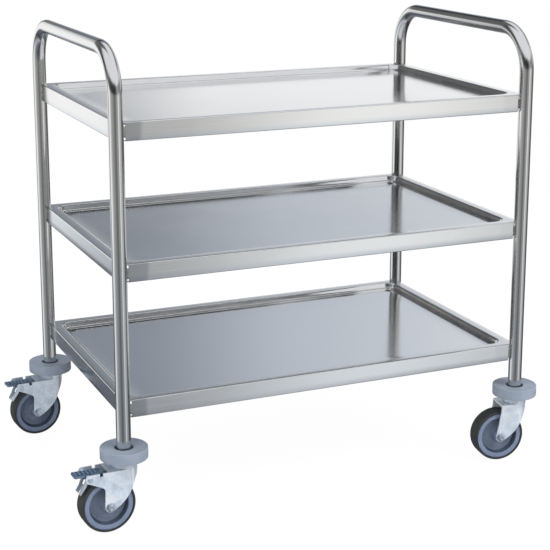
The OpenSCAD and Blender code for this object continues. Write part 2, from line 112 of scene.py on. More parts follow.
def settle(obj, angle):
    """Applies a piece's modifiers, then marks edges that turn more than the angle as sharp."""
    bpy.context.view_layer.update()
    done = bpy.data.meshes.new_from_object(obj.evaluated_get(bpy.context.evaluated_depsgraph_get()))
    obj.modifiers.clear()
    obj.data = done
    done.polygons.foreach_set("use_smooth", np.ones(len(done.polygons), bool))
    done.set_sharp_from_angle(angle=math.radians(angle))


def on_castor(i, local):
    """Points in a castor's own axes, turned by its rest angle and moved under its post."""
    a = math.radians(CASTOR_TURN[i])
    x, y, z = np.moveaxis(np.asarray(local, float), -1, 0)
    turned = np.stack([x * math.cos(a) - y * math.sin(a), x * math.sin(a) + y * math.cos(a), z], axis=-1)
    return turned + SHIFT + np.array([CASTOR_X[i], CASTOR_Y[i], 0.0])


def rounded(points, radius, steps):
    """An open line of (a, b) points with each inner corner swapped for an arc-like curve: a quadratic
    between the points that lie radius before and after the corner, on its two sides."""
    line = [np.asarray(points[0], float)]
    for before, corner, after in zip(points[:-2], points[1:-1], points[2:]):
        before, corner, after = (np.asarray(p, float) for p in (before, corner, after))
        to_before, to_after = before - corner, after - corner
        cut = min(radius, np.linalg.norm(to_before) * 0.45, np.linalg.norm(to_after) * 0.45)
        start = corner + to_before / np.linalg.norm(to_before) * cut
        end = corner + to_after / np.linalg.norm(to_after) * cut
        for t in np.linspace(0.0, 1.0, steps + 1):
            line.append((1 - t) ** 2 * start + 2 * t * (1 - t) * corner + t ** 2 * end)
    line.append(np.asarray(points[-1], float))
    return np.array(line)


def revolve(name, profile, place, count, body, replaced, materials, part_of=None):
    """A surface of revolution: a closed profile of (radius, height) points carried round an axis in count
    steps. place turns radius, angle and height into points."""
    turn = np.linspace(0.0, 2 * math.pi, count, endpoint=False)[None, :]
    radius = profile[:, 0][:, None] + 0 * turn
    height = profile[:, 1][:, None] + 0 * turn
    verts = place(radius, turn + 0 * radius, height).reshape(-1, 3)
    faces = grid_faces(len(profile), count, close_rows=True, close_cols=True)
    along = np.concatenate([[0.0], np.cumsum(np.linalg.norm(np.diff(profile, axis=0), axis=1))])
    uv = np.stack([turn * UV_RADIUS + 0 * radius, along[:, None] + 0 * turn], axis=-1).reshape(-1, 2)
    parts = None if part_of is None else np.repeat(part_of, count)
    return add_object(name, verts, faces, body, replaced, materials, parts, uv)


# ---- Materials ----

def grey(v, warm=0.0):
    """A grey of value v, warmer above 0 and bluer below."""
    return (v * (1 + warm), v, v * (1 - warm))


class Nodes:
    """Short calls that build a node tree. What they are handed is a plain value or another node's output."""

    def __init__(self, tree):
        self.tree = tree
        tree.nodes.clear()

    def add(self, kind, inputs=(), **settings):
        """A new node with its settings, and with its inputs fed by name or number."""
        node = self.tree.nodes.new("ShaderNode" + kind)
        for setting, value in settings.items():
            setattr(node, setting, value)
        for key, value in dict(inputs).items():
            self.feed(node.inputs[key], value)
        return node

    def feed(self, socket, value):
        """Links an output to a socket, or sets the socket to a plain value."""
        if isinstance(value, bpy.types.NodeSocket):
            self.tree.links.new(value, socket)
        else:
            socket.default_value = value

    def math(self, kind, a, b=0.0):
        return self.add("Math", {0: a, 1: b}, operation=kind).outputs[0]

    def blend(self, kind, share, a, b):
        """Two colours mixed by a share of the second."""
        return self.add("Mix", {0: share, 6: a, 7: b}, data_type="RGBA", blend_type=kind).outputs[2]

    def either(self, share, first, second):
        """Two shaders mixed by a share of the second."""
        return self.add("MixShader", {0: share, 1: first, 2: second}).outputs[0]

    def ramp(self, value, stops):
        """A colour ramp through (position, colour) stops in rising order. A number stands for a grey."""
        node = self.add("ValToRGB", {0: value})
        elements = node.color_ramp.elements
        elements.remove(elements[-1])
        for k, (position, colour) in enumerate(stops):
            element = elements[0] if k == 0 else elements.new(position)
            element.position = position
            element.color = (*(grey(colour) if isinstance(colour, float) else colour), 1.0)
        return node.outputs[0]


class Finish(Nodes):
    """A node material being put together round one Principled shader."""

    def __init__(self, name, metallic, specular=0.5):
        self.material = bpy.data.materials.new(name)
        self.material.use_nodes = True
        super().__init__(self.material.node_tree)
        self.where = self.add("TexCoord").outputs
        self.shader = self.add("BsdfPrincipled", {"Metallic": metallic, "Specular IOR Level": specular})
        self.add("OutputMaterial", {0: self.shader.outputs[0]})

    def noise(self, scale, detail, roughness=0.55, distortion=0.0, kind="Object"):
        """A cloudy pattern on the object's coordinates in metres, or on its own UV map, times a scale that
        is one number or one for each axis."""
        scales = (scale,) * 3 if isinstance(scale, float) else scale
        stretched = self.add("Mapping", {"Vector": self.where[kind], "Scale": scales})
        node = self.add("TexNoise", {"Vector": stretched.outputs[0], "Scale": 1.0, "Detail": detail,
                                     "Roughness": roughness, "Distortion": distortion})
        return node.outputs["Fac"]

    def cells(self, scale):
        """A mosaic of small cells, each with a colour of its own."""
        return self.add("TexVoronoi", {"Vector": self.where["Object"], "Scale": scale}).outputs["Color"]

    def spread(self, value, low, high, start=0.3, end=0.7):
        """A value from a pattern, stretched from start..end to low..high."""
        node = self.add("MapRange", {"Value": value, "From Min": start, "From Max": end, "To Min": low,
                                     "To Max": high})
        return node.outputs[0]

    def edge_wear_and_highlight(self):
        """How far a point stands out on a convex edge, from 0 to 1."""
        # Convex edges are painted lighter from this: painted highlight, partly wear
        return self.spread(self.add("NewGeometry").outputs["Pointiness"], 0.0, 1.0, 0.52, 0.6)

    def post_reflection_share(self, pattern):
        """The share of an apron painted darker as a reflection of the post: none from about 35 mm beside the
            post on, with an uneven edge, and by the post three quarters at the trolley's left end, falling to
            a tenth at its right end."""
        apart = self.add("SeparateXYZ", {0: self.where["Object"]}).outputs
        gaps = []
        for along, middle, span in zip(apart, SHIFT, (SPAN_X, SPAN_Y)):
            from_middle = self.math("ABSOLUTE", self.math("ADD", along, -middle * MM))
            gaps.append(self.math("SUBTRACT", (span / 2 - TUBE_R) * MM, from_middle))
        uneven = self.math("ADD", self.math("MAXIMUM", *gaps), self.math("MULTIPLY", pattern, 0.03))
        beside_post = self.spread(uneven, 1.0, 0.0, 0.044, 0.052)
        share = self.spread(apart["X"], 0.75, 0.1, -0.5 * SPAN_X * MM, 0.5 * SPAN_X * MM)
        return self.math("MULTIPLY", beside_post, share)

    def give(self, colour, roughness, bump, depth, strength):
        """The finished material. The bumps' depth is in metres."""
        raised = self.add("Bump", {"Height": bump, "Distance": depth, "Strength": strength})
        for name, value in (("Base Color", colour), ("Roughness", roughness), ("Normal", raised.outputs[0])):
            self.feed(self.shader.inputs[name], value)
        return self.material


def brushed_steel(name, scale, low, high, rough_low, rough_high, kind="Object", warm=0.0, strength=0.12,
                  post_reflection=False):
    """Stainless steel with a fine grain: noise stretched by the scale, in the colour, roughness and bump,
    over a broad soft variation of the sheet or tube. Where asked, it is painted darker beside the posts:
    a painted reflection of the posts."""
    f = Finish(name, metallic=1.0)
    fine = f.noise(scale, 4.0, kind=kind)
    broad = f.noise(9.0, 2.0)
    mixed = f.math("ADD", f.math("MULTIPLY", fine, 0.7), f.math("MULTIPLY", broad, 0.3))
    colour = f.ramp(mixed, [(0.35, grey(low, warm)), (0.65, grey(high, warm))])
    rough = f.spread(mixed, rough_low, rough_high, 0.35, 0.65)
    if post_reflection:
        # Painted reflection: the apron is painted darker by each post, more at the left end than the right
        colour = f.blend("MIX", f.post_reflection_share(broad), colour, (0.40, 0.415, 0.44, 1.0))
    return f.give(colour, rough, fine, 0.00005, strength)


tube_steel = brushed_steel("tube_steel", (14.0, 900.0, 1.0), 0.62, 0.70, 0.12, 0.18, kind="UV", warm=-0.004,
                           strength=0.012)
deck_steel = brushed_steel("deck_steel", (40.0, 700.0, 700.0), 0.82, 0.87, 0.11, 0.15, strength=0.04)
wall_steel = brushed_steel("wall_steel", (30.0, 30.0, 300.0), 0.60, 0.68, 0.12, 0.17, strength=0.03)
rim_steel = brushed_steel("rim_steel", (420.0, 90.0, 200.0), 0.82, 0.90, 0.16, 0.22, strength=0.06)
apron_steel = brushed_steel("apron_steel", (8.0, 8.0, 900.0), 0.64, 0.72, 0.12, 0.18, warm=-0.005,
                            strength=0.08, post_reflection=True)
ball_steel = brushed_steel("ball_steel", 60.0, 0.62, 0.74, 0.08, 0.14)


def weld_finish():
    """Weld metal: rippled, brighter on the crests, straw and blue tints in the hollows."""
    f = Finish("weld_metal", metallic=1.0)
    ripple = f.noise((180.0, 180.0, 900.0), 4.0, distortion=0.6)
    colour = f.ramp(ripple, [(0.3, (0.30, 0.27, 0.25)), (0.5, (0.62, 0.60, 0.57)), (0.7, (0.86, 0.86, 0.85))])
    return f.give(colour, f.spread(ripple, 0.45, 0.22), ripple, 0.0004, 0.6)


def zinc_finish(name, low, high, metallic):
    """Bright zinc plating over pressed steel: cloudy patches and fine spangle, blue-white, painted near
    white on convex edges: a painted highlight, with some wear."""
    f = Finish(name, metallic=metallic)
    cloud = f.noise(70.0, 5.0, roughness=0.7)
    base = f.ramp(cloud, [(0.32, (low * 0.84, low * 0.98, low * 1.14)),
                          (0.68, (high * 0.90, high, high * 1.12))])
    shaded = f.blend("SOFT_LIGHT", 0.12, base, f.cells(420.0))
    # Painted highlight: convex edges lightened toward near white, with some wear
    colour = f.blend("MIX", f.edge_wear_and_highlight(), shaded, (0.95, 0.97, 1.0, 1.0))
    return f.give(colour, f.spread(cloud, 0.42, 0.26), cloud, 0.0002, 0.25)


def moulded(name, low, high, edge=None):
    """Moulded plastic: a fine even texture in the bump, with soft clouding in colour and roughness, and
    where an edge colour is given, convex edges painted lighter in it: a painted highlight, with some wear."""
    f = Finish(name, metallic=0.0, specular=0.45)
    fine = f.noise(900.0, 2.0)
    cloud = f.noise(38.0, 4.0)
    colour = f.ramp(cloud, [(0.3, low), (0.7, high)])
    if edge is not None:
        # Painted highlight: convex edges lightened to the edge colour, with some wear
        colour = f.blend("MIX", f.edge_wear_and_highlight(), colour, (*edge, 1.0))
    return f.give(colour, f.spread(cloud, 0.58, 0.42), fine, 0.0001, 0.15)


def rubber(name, low, high):
    """Rubber tread and moulding: matt and dark, dusty in broad patches, with a fine grain."""
    f = Finish(name, metallic=0.0, specular=0.3)
    dust = f.noise(26.0, 6.0, roughness=0.65)
    fine = f.noise(600.0, 3.0)
    colour = f.ramp(dust, [(0.3, low), (0.72, high)])
    return f.give(colour, f.spread(dust, 0.62, 0.8), fine, 0.0002, 0.25)


weld_metal = weld_finish()
zinc_plate = zinc_finish("zinc_plate", 0.58, 0.84, metallic=0.50)
zinc_bolt = zinc_finish("zinc_bolt", 0.62, 0.86, metallic=1.0)
bumper_plastic = moulded("bumper_plastic", (0.245, 0.285, 0.35), (0.29, 0.33, 0.395), edge=(0.38, 0.43, 0.50))
wheel_plastic = moulded("wheel_plastic", (0.115, 0.145, 0.205), (0.15, 0.185, 0.255))
# Painted shade: the sloped wall inside the wheel's ring gets a much darker copy of the wheel's plastic
wall_painted_shade = moulded("wall_painted_shade", (0.045, 0.058, 0.085), (0.07, 0.09, 0.13))
ring_plastic = moulded("ring_plastic", (0.15, 0.19, 0.285), (0.185, 0.23, 0.33))
pedal_plastic = moulded("pedal_plastic", (0.032, 0.058, 0.10), (0.055, 0.09, 0.145), edge=(0.17, 0.24, 0.34))
tyre_rubber = rubber("tyre_rubber", (0.030, 0.033, 0.033), (0.050, 0.054, 0.054))
expander_rubber = rubber("expander_rubber", (0.018, 0.018, 0.019), (0.03, 0.03, 0.031))


# ---- Tube hoops ----

def hoop_path():
    """The hoop's centre line as points (y, z), with the direction along it: up the front post, round a
    quarter circle, along the handle, round a quarter circle and down the back post."""
    leg = HANDLE_Z - BEND_R
    half = SPAN_Y / 2
    rise = np.linspace(TUBE_END_Z, leg, 30)
    turn = np.linspace(0.0, math.pi / 2, 25)[1:-1]
    across = np.linspace(BEND_R - half, half - BEND_R, 18)
    front = np.stack([0 * rise - half, rise], axis=1)
    first = np.stack([BEND_R - half - BEND_R * np.cos(turn), leg + BEND_R * np.sin(turn)], axis=1)
    top = np.stack([across, 0 * across + HANDLE_Z], axis=1)
    second = np.stack([half - BEND_R + BEND_R * np.sin(turn), leg + BEND_R * np.cos(turn)], axis=1)
    back = np.stack([0 * rise + half, rise[::-1]], axis=1)
    line = np.concatenate([front, first, top, second, back])
    ahead = np.gradient(line, axis=0)
    straight_up = np.abs(line[:, 1]) < leg
    ahead[straight_up, 0] = 0.0
    return line, ahead / np.linalg.norm(ahead, axis=1, keepdims=True)


def hoop(end, side):
    """A circle carried along the hoop's centre line, outside and then back along the bore, closed at both
    ends. Its UV runs along the tube and round it, for the grain."""
    line, ahead = hoop_path()
    around = 56
    a = np.linspace(0.0, 2 * math.pi, around, endpoint=False)
    normal = np.stack([ahead[:, 1], -ahead[:, 0]], axis=1)
    length = np.concatenate([[0.0], np.cumsum(np.linalg.norm(np.diff(line, axis=0), axis=1))])
    rings, runs = [], []
    for radius, order in ((TUBE_R, slice(None)), (TUBE_R - TUBE_WALL, slice(None, None, -1))):
        x = radius * np.cos(a)[None, :] + np.zeros((len(line), 1)) + side * SPAN_X / 2
        y = line[:, :1] + normal[:, :1] * radius * np.sin(a)[None, :]
        z = line[:, 1:] + normal[:, 1:] * radius * np.sin(a)[None, :]
        rings.append(np.stack([x, y, z], axis=-1)[order])
        run = np.stack([length[:, None] + 0 * a[None, :], TUBE_R * a[None, :] + 0 * length[:, None]], axis=-1)
        runs.append(run[order])
    verts = np.concatenate(rings).reshape(-1, 3) + SHIFT
    rows = 2 * len(line)
    faces = grid_faces(rows, around, close_rows=True, close_cols=True)
    obj = add_object("tube_hoop_" + end, verts, faces, "frame", ["hoop_" + end],
                     [tube_steel], uv=np.concatenate(runs).reshape(-1, 2))
    obj.data.set_sharp_from_angle(angle=math.radians(50))


# ---- Shelves ----

def fall(depth, r1, r2, slope):
    """How far a rolled step reaches sideways while it falls by depth."""
    s = math.radians(slope)
    straight = (depth - (r1 + r2) * (1 - math.cos(s))) / math.sin(s)
    return (r1 + r2) * math.sin(s) + straight * math.cos(s)


def rolled_step(d, z, depth, r1, r2, slope, steps):
    """(d, z) points of a step down: a convex arc of radius r1, a slope, and a concave arc of radius r2."""
    b = np.radians(np.linspace(0.0, slope, steps + 1))
    foot = d + fall(depth, r1, r2, slope)
    top = np.stack([d + r1 * np.sin(b), z - r1 + r1 * np.cos(b)], axis=1)
    low = np.stack([foot - r2 * np.sin(b[::-1]), z - depth + r2 - r2 * np.cos(b[::-1])], axis=1)
    return np.concatenate([top, low])


def tray_outline(inset, arc_steps, side_steps):
    """The tray's rounded rectangle, moved in by inset, as points (x, y): an arc at each corner, then a
    side."""
    half_x, half_y = SPAN_X / 2 - RIM_W - inset, SPAN_Y / 2 - RIM_W - inset
    r = TRAY_CORNER_R - inset
    points = []
    for k, (sx, sy) in enumerate(QUARTERS):
        a = np.radians(90.0 * k + np.linspace(0.0, 90.0, arc_steps + 1))
        centre = np.array([sx * (half_x - r), sy * (half_y - r)])
        points.append(centre + r * np.stack([np.cos(a), np.sin(a)], axis=1))
        nx, ny = QUARTERS[(k + 1) % 4]
        a_next = np.radians(90.0 * (k + 1))
        end = np.array([nx * (half_x - r) + r * math.cos(a_next), ny * (half_y - r) + r * math.sin(a_next)])
        t = np.linspace(0.0, 1.0, side_steps + 1)[1:-1, None]
        points.append(points[-1][-1] * (1 - t) + end * t)
    return np.concatenate(points)


def rim_outline(arc_steps, side_steps):
    """The rim's outer line just inside its fold, as points (x, y) that pair with the tray's outline: a
    hollow arc round each post, then a side."""
    r = TUBE_R + POST_GAP
    short = math.degrees(math.asin(FOLD_R / r))
    points = []
    for k, (sx, sy) in enumerate(QUARTERS):
        a = np.radians(270.0 + 90.0 * k - short - np.linspace(0.0, 90.0 - 2 * short, arc_steps + 1))
        centre = np.array([sx * SPAN_X / 2, sy * SPAN_Y / 2])
        points.append(centre + r * np.stack([np.cos(a), np.sin(a)], axis=1))
        nx, ny = QUARTERS[(k + 1) % 4]
        a_next = np.radians(270.0 + 90.0 * (k + 1) - short)
        end = np.array([nx * SPAN_X / 2 + r * math.cos(a_next), ny * SPAN_Y / 2 + r * math.sin(a_next)])
        t = np.linspace(0.0, 1.0, side_steps + 1)[1:-1, None]
        points.append(points[-1][-1] * (1 - t) + end * t)
    return np.concatenate(points)


def tray_rows(arc_steps, side_steps):
    """Rings of points from the rim's outer line to the deck's middle, each at its own height, and the
    material of the band of faces after each ring."""
    outer, inner = rim_outline(arc_steps, side_steps), tray_outline(0.0, arc_steps, side_steps)
    rings, parts = [], []
    for t in (0.0, 0.5):
        rings.append(np.column_stack([outer * (1 - t) + inner * t, np.zeros(len(outer))]))
        parts.append(RIM)
    ledge_d = fall(TRAY_WALL_H, RIM_TOP_R, RIM_FOOT_R, RIM_SLOPE)
    wall = rolled_step(0.0, 0.0, TRAY_WALL_H, RIM_TOP_R, RIM_FOOT_R, RIM_SLOPE, 7)
    step = rolled_step(ledge_d + LEDGE_W, -TRAY_WALL_H, DECK_STEP, STEP_R, STEP_R, STEP_SLOPE, 3)
    for d, z in np.concatenate([wall, step]):
        ring = tray_outline(d, arc_steps, side_steps)
        rings.append(np.column_stack([ring, np.full(len(ring), z)]))
        parts.append(WALL)
    parts[-1] = DECK
    deck_edge, deck_z = rings[-1][:, :2], rings[-1][0, 2]
    half_x, half_y = np.abs(deck_edge).max(axis=0)
    spine = np.column_stack([np.clip(deck_edge[:, 0], half_y - half_x, half_x - half_y), 0 * deck_edge[:, 1]])
    for t in (0.12, 0.4, 0.7, 1.0):
        flat = deck_edge * (1 - t) + spine * t
        rings.append(np.column_stack([flat, np.full(len(flat), deck_z)]))
        parts.append(DECK)
    return np.array(rings), np.array(parts[:-1])


def apron_rows():
    """(out, z, short) for each row of an apron's strip: how far it stands out from the rim's fold line, its
    height, and how far short of the post's axis it ends. Down the fold, the face, and in along the hem."""
    b = np.radians(np.linspace(0.0, 90.0, 6))
    fold = np.stack([FOLD_R * np.sin(b), FOLD_R * np.cos(b) - FOLD_R], axis=1)
    fold_r = TUBE_R + POST_GAP
    gap_r = TUBE_R + WELD_GAP
    rows = [(o, z, math.sqrt(fold_r ** 2 - (FOLD_R - o) ** 2)) for o, z in fold]
    for z in (-2.4, -10.0, -20.0, -APRON_H + HEM_R):
        rows.append((FOLD_R, z, gap_r))
    for c in np.radians(np.linspace(22.5, 90.0, 4)):
        out = FOLD_R - HEM_R + HEM_R * math.cos(c)
        z = -APRON_H + HEM_R - HEM_R * math.sin(c)
        rows.append((out, z, math.sqrt(gap_r ** 2 - (FOLD_R - out) ** 2)))
    rows.append((FOLD_R - HEM_W, -APRON_H, math.sqrt(gap_r ** 2 - HEM_W ** 2)))
    return np.array(rows)


def shelf(name, rim_z):
    """One pressed sheet: the rim and sunk tray as rings that run from the rim's outer line to the deck's
    middle, and on each side a strip for the fold, apron and hem. A Solidify modifier, applied at once, gives
    the sheet its thickness."""
    arc_steps, side_steps = 10, 14
    rings, parts = tray_rows(arc_steps, side_steps)
    verts = [rings.reshape(-1, 3)]
    faces = [grid_faces(len(rings), rings.shape[1], close_cols=True)]
    part_of = [np.repeat(parts, rings.shape[1])]
    base = rings.shape[0] * rings.shape[1]
    rows = apron_rows()
    for k in range(4):
        long_half, deep_half = (SPAN_X / 2, SPAN_Y / 2) if k % 2 == 0 else (SPAN_Y / 2, SPAN_X / 2)
        edge = long_half - math.sqrt((TUBE_R + POST_GAP) ** 2 - FOLD_R ** 2)
        t = np.linspace(-1.0, 1.0, side_steps + 1)[None, :]
        reach = (long_half - rows[:, 2])[:, None]
        along = t * edge
        along = np.where(np.abs(t) == 1.0, np.sign(t) * reach, along)
        out = deep_half - FOLD_R + rows[:, 0][:, None] + 0 * along
        z = rows[:, 1][:, None] + 0 * along
        x, y = ((along, out), (-out, along), (-along, -out), (out, -along))[k]
        strip = np.stack([x, y, z], axis=-1)
        verts.append(strip.reshape(-1, 3))
        quads = grid_faces(strip.shape[0], strip.shape[1]) + base
        faces.append(quads)
        part_of.append(np.full(len(quads), APRON))
        base += strip.shape[0] * strip.shape[1]
    points = np.concatenate(verts) + SHIFT + np.array([0.0, 0.0, rim_z])
    obj = add_object("sheet_" + name, points, np.concatenate(faces), "frame",
                     ["shelf_" + name], [deck_steel, wall_steel, rim_steel, apron_steel],
                     np.concatenate(part_of))
    shape = bmesh.new()
    shape.from_mesh(obj.data)
    bmesh.ops.remove_doubles(shape, verts=shape.verts, dist=0.02 * MM)
    bmesh.ops.dissolve_degenerate(shape, edges=shape.edges, dist=0.005 * MM)
    bmesh.ops.recalc_face_normals(shape, faces=shape.faces)
    deck = min(shape.faces, key=lambda face: face.calc_center_median().xy.length)
    if deck.normal.z < 0:
        bmesh.ops.reverse_faces(shape, faces=shape.faces)
    shape.to_mesh(obj.data)
    shape.free()
    sheet = obj.modifiers.new("sheet_thickness", "SOLIDIFY")
    sheet.thickness = SHEET_T * MM
    sheet.offset = -1.0
    sheet.use_even_offset = True
    settle(obj, 40)


# ---- Welds ----

def weld_beads(name, rim_z):
    """Eight beads, two at each post, in the gap between an apron's end and the tube: an ellipse carried up
    the gap, whose width and height swell and shrink in ripples, with rounded ends."""
    rows, cols = 26, 12
    t = np.linspace(0.0, 1.0, rows)[:, None]
    a = np.linspace(0.0, 2 * math.pi, cols, endpoint=False)[None, :]
    end = np.sqrt(np.clip(1 - np.abs(2 * t - 1) ** 6, 0.0, 1.0))
    ripple = 1 + 0.13 * np.sin(2 * math.pi * 7 * t)
    z = (t - 0.5) * WELD_H + rim_z - APRON_H / 2 + 0 * a
    wide, proud = WELD_GAP / 2 + 0.35, 1.75
    verts, faces, base = [], [], 0
    for sx in (-1, 1):
        for sy in (-1, 1):
            for along_x in (True, False):
                phase = 0.6 * sx + 1.1 * sy + (0.4 if along_x else 0.0)
                swell = end * (ripple + 0.05 * np.sin(31 * t + phase))
                run = TUBE_R + WELD_GAP / 2 + wide * np.cos(a) * swell
                deep = 0.4 - proud * np.sin(a) * swell
                if along_x:
                    x, y = sx * (SPAN_X / 2 - run), sy * (SPAN_Y / 2 - deep)
                else:
                    x, y = sx * (SPAN_X / 2 - deep), sy * (SPAN_Y / 2 - run)
                verts.append(np.stack([x + 0 * z, y + 0 * z, z], axis=-1).reshape(-1, 3))
                faces.append(grid_faces(rows, cols, close_cols=True) + base)
                base += rows * cols
    obj = add_object("beads_" + name, np.concatenate(verts) + SHIFT, np.concatenate(faces), "frame",
                     ["welds_" + name], [weld_metal])
    close_and_turn_out(obj)


def close_and_turn_out(obj):
    """Joins points that meet at a pole, and turns all faces outwards."""
    shape = bmesh.new()
    shape.from_mesh(obj.data)
    bmesh.ops.remove_doubles(shape, verts=shape.verts, dist=0.01 * MM)
    bmesh.ops.recalc_face_normals(shape, faces=shape.faces)
    shape.to_mesh(obj.data)
    shape.free()


# ---- Bumpers ----

def bumper(i):
    """The disc's section carried round the post: a rounded outer edge, a low lip at the top, a shallow dish
    and the hole's wall down to its floor."""
    r, h, hole = BUMPER_D / 2, BUMPER_H, BUMPER_HOLE_D / 2
    bore = TUBE_R - TUBE_WALL
    section = rounded([
        (bore, 0), (r, 0), (r, h), (r - 3.2, h), (r - 4.0, h - 0.7), (hole + 3.0, h - 0.7), (hole, h - 1.2),
        (hole, BUMPER_FLOOR), (bore, BUMPER_FLOOR), (bore, 0)], 2.0, 5)

    def place(radius, turn, height):
        local = np.stack([radius * np.cos(turn), radius * np.sin(turn), height + BUMPER_Z], axis=-1)
        return on_castor(i, local)

    obj = revolve("disc_" + CORNERS[i], section[:-1], place, 96, "frame",
                  ["bumper_" + CORNERS[i]], [bumper_plastic])
    close_and_turn_out(obj)
    obj.data.set_sharp_from_angle(angle=math.radians(40))


# ---- Wheels ----

def about_axle(i):
    """Points about a castor's axle from radius, angle and the place along the axle."""
    def place(radius, turn, along):
        local = np.stack([-TRAIL + radius * np.cos(turn), along, WHEEL_R + radius * np.sin(turn)], axis=-1)
        return on_castor(i, local)
    return place


def wheel_centre(i):
    """The plastic wheel's section, mirrored and carried round the axle: hub, web with a low moulded ridge,
    sloped wall and the flat outer ring with its rolled lip."""
    hub = [(6.05, 19.5), (11.0, 19.5), (12.0, 18.5), (12.8, 7.0)]
    web = [(15.0, 4.7), (24.2, 4.6), (24.9, 5.1), (26.0, 5.1), (26.7, 4.6), (32.4, 4.5)]
    wall = [(33.8, 6.0), (35.0, 10.6), (35.5, 12.0), (36.0, 13.5)]
    ring = [(37.0, 14.2), (43.6, 14.5), (45.2, 14.0), (RIM_R, 13.0)]
    upper = rounded(hub + web + wall + ring, 0.9, 3)
    lower = upper[::-1] * np.array([1.0, -1.0])
    section = np.concatenate([upper, lower])
    far, high = section[:, 0], np.abs(section[:, 1])
    on_ring = (far > 33.0) & (high > 13.6)
    # The sloped wall gets the dark plastic: painted shade
    on_shaded_wall = (far > 32.6) & (high > 4.8)
    part_of = np.where(on_ring, 1, np.where(on_shaded_wall, 2, 0))
    obj = revolve("centre_" + CORNERS[i], section, about_axle(i), 96, "roller_" + CORNERS[i],
                  ["wheel_" + CORNERS[i]], [wheel_plastic, ring_plastic, wall_painted_shade],
                  part_of=part_of)
    close_and_turn_out(obj)
    obj.data.set_sharp_from_angle(angle=math.radians(35))


def tyre(i):
    """The tyre's section carried round the axle: flat sides, round shoulders, and a tread that is 0.15 mm
    lower at its edges, with a fine moulding line at its middle."""
    s = np.radians(np.linspace(0.0, 90.0, 8))
    middle = np.array([WHEEL_R - 0.15 - SHOULDER_R, TYRE_HALF - SHOULDER_R])
    arc = middle + SHOULDER_R * np.stack([np.sin(s), np.cos(s)], axis=1)
    half = np.concatenate([[(RIM_R + 0.05, TYRE_HALF - 0.6), (RIM_R + 0.2, TYRE_HALF)], arc,
                           [(WHEEL_R - 0.05, 6.0), (WHEEL_R - 0.03, 0.5), (WHEEL_R, 0.15)]])
    section = np.concatenate([half, half[::-1] * np.array([1.0, -1.0])])
    obj = revolve("tread_" + CORNERS[i], section, about_axle(i), 112, "roller_" + CORNERS[i],
                  ["tyre_" + CORNERS[i]], [tyre_rubber])
    close_and_turn_out(obj)
    obj.data.set_sharp_from_angle(angle=math.radians(50))


# ---- Bolts and nuts ----

def hexagon(turn):
    """How far a regular hexagon's outline lies from its middle at each angle, with its corners at 1."""
    return math.cos(math.pi / 6) / np.cos((turn + 1e-9) % (math.pi / 3) - math.pi / 6)


def hex_piece(i, name, rows, node, side):
    """Rows of (round radius, hexagon's corner radius, place along the axle) carried round the axle: each
    point lies at the smaller of the two, so a hexagon's corners are turned off by a cone."""
    rows = np.array(rows, float)
    around = 72
    turn = np.linspace(0.0, 2 * math.pi, around, endpoint=False)[None, :]
    radius = np.minimum(rows[:, :1] + 0 * turn, rows[:, 1:2] * hexagon(turn))
    along = side * (rows[:, 2:] + 0 * turn)
    verts = about_axle(i)(radius, turn + 0 * radius, along).reshape(-1, 3)
    faces = grid_faces(len(rows), around, close_rows=True, close_cols=True)
    obj = add_object(name, verts, faces, "swivel_" + CORNERS[i], [node], [zinc_bolt])
    close_and_turn_out(obj)
    obj.data.set_sharp_from_angle(angle=math.radians(28))


def bolt_and_nut(i):
    """The axle bolt: a dished hexagon head with a flange, and its shaft with a turned-off end. The nut: the
    same hexagon and flange, with the shaft's hole."""
    face = CHEEK_OUT + HEAD_T
    free = 99.0                             # no limit to the radius
    head = [(0.0, free, face - 0.5), (2.6, free, face - 0.5), (3.4, free, face), (5.4, free, face),
            (6.9, HEX_R, face - 0.6), (free, HEX_R, face - 1.2), (free, HEX_R, CHEEK_OUT + 1.0),
            (FLANGE_R - 0.2, free, CHEEK_OUT + 1.0), (FLANGE_R, free, CHEEK_OUT + 0.8),
            (FLANGE_R, free, CHEEK_OUT)]
    end = face + 1.0
    shaft = [(AXLE_R, free, CHEEK_OUT), (AXLE_R, free, 0.8 - end), (AXLE_R - 0.8, free, -end),
             (0.0, free, -end), (0.0, free, 0.0)]
    hex_piece(i, "bolt_" + CORNERS[i], head + shaft, "axle_" + CORNERS[i], -1)
    hole = AXLE_R + 0.05
    nut = [(hole, free, CHEEK_OUT), (hole, free, face - 0.4), (hole + 0.4, free, face), *head[3:]]
    hex_piece(i, "hex_nut_" + CORNERS[i], nut, "nut_" + CORNERS[i], 1)


# ---- Pressed and turned pieces, from their CAD shapes with softened edges ----

def softened(node, name, width, material, body):
    """The CAD shape with its points merged and its flat faces joined, and a small round of the given width
    along every sharp edge."""
    turn = math.radians(35.0)
    mesh = NODES[node].data.copy()
    mesh.name = name
    shape = bmesh.new()
    shape.from_mesh(mesh)
    bmesh.ops.remove_doubles(shape, verts=shape.verts, dist=0.003 * MM)
    bmesh.ops.dissolve_limit(shape, angle_limit=math.radians(0.6), verts=shape.verts, edges=shape.edges)
    shape.to_mesh(mesh)
    shape.free()
    mesh.materials.clear()
    mesh.materials.append(material)
    mesh.polygons.foreach_set("use_smooth", np.ones(len(mesh.polygons), bool))
    mesh.set_sharp_from_angle(angle=turn)
    obj = bpy.data.objects.new(name, mesh)
    bpy.context.scene.collection.objects.link(obj)
    edge = obj.modifiers.new("soft_edges", "BEVEL")
    edge.limit_method = "ANGLE"
    edge.angle_limit = turn
    edge.width = width * MM
    edge.segments = 2
    edge.use_clamp_overlap = True
    smooth = obj.modifiers.new("even_shading", "WEIGHTED_NORMAL")
    smooth.keep_sharp = True
    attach(obj, body)
    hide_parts(node)


